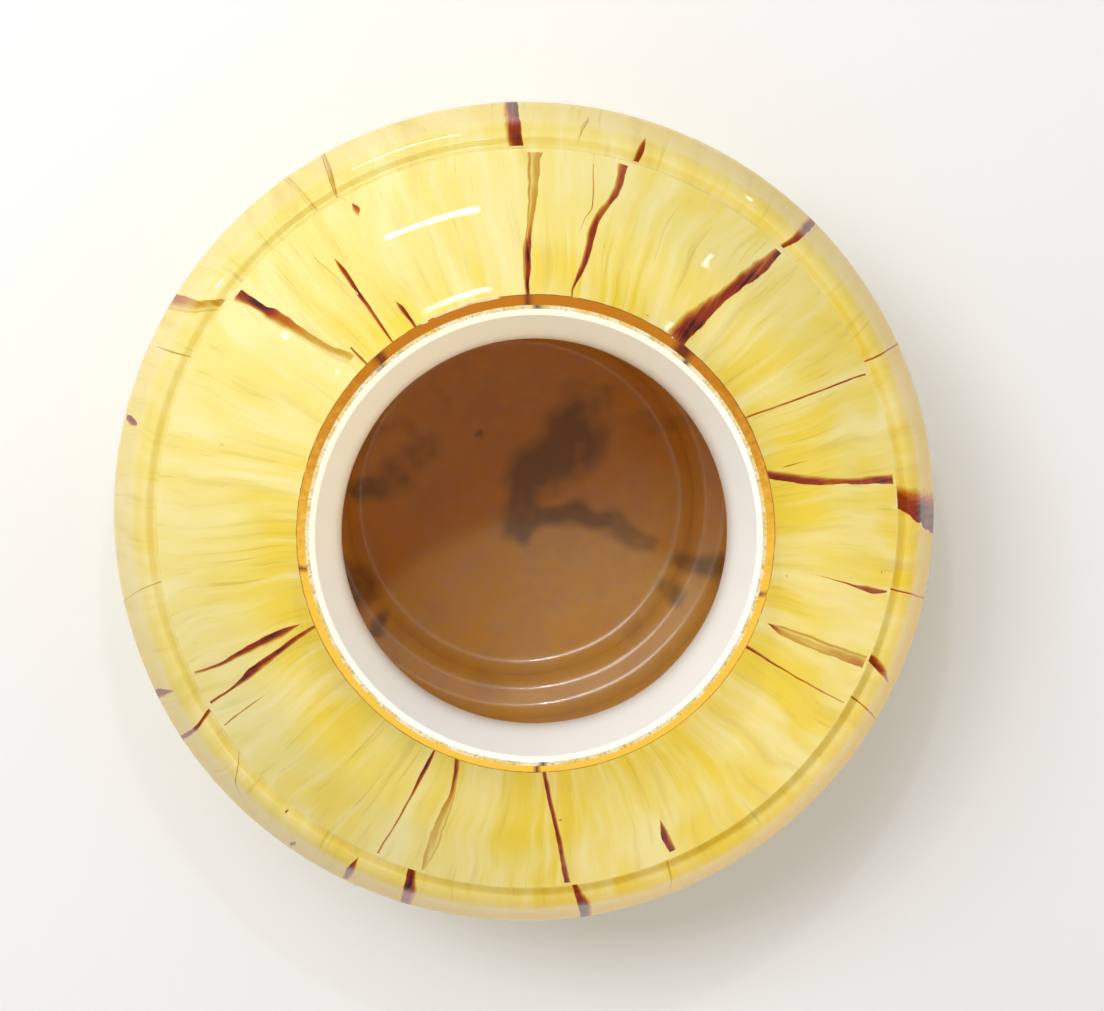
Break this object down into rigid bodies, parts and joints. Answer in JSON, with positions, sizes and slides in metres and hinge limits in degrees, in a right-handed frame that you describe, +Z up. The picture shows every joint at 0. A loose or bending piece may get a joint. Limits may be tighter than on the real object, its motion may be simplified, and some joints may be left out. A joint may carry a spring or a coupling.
{
  "type": "glass lampshade",
  "caption": "Stepped globe lampshade in marbled cased glass with dark trails, white-lined, with an open lipped neck that a gallery holds.",
  "frame": {"origin": "centre of the flat closed base, on the plane it rests on", "axes": "+Z up the axis of the shade towards the open neck; +Y towards the angle from which the trails are counted clockwise, seen from above the neck"},
  "size_m": [0.2, 0.2, 0.145],
  "materials": {
    "marbled_glass": "glossy, pale yellow with cream wisps, amber at the ground rim",
    "clear_glass": "clear, mottled with small flakes",
    "opal_glass": "satin white opal, amber-brown where it is thin inside the bowl",
    "trail_glass": "glossy dark red-brown with amber fringes"
  },
  "bodies": {
    "root": {"marbled_casing": "marbled_glass", "clear_interlayer": "clear_glass", "opal_lining": "opal_glass", "shoulder_trails": "trail_glass", "band_trails": "trail_glass", "lower_trails": "trail_glass", "base_swirl": "trail_glass"}
  },
  "joints": []
}
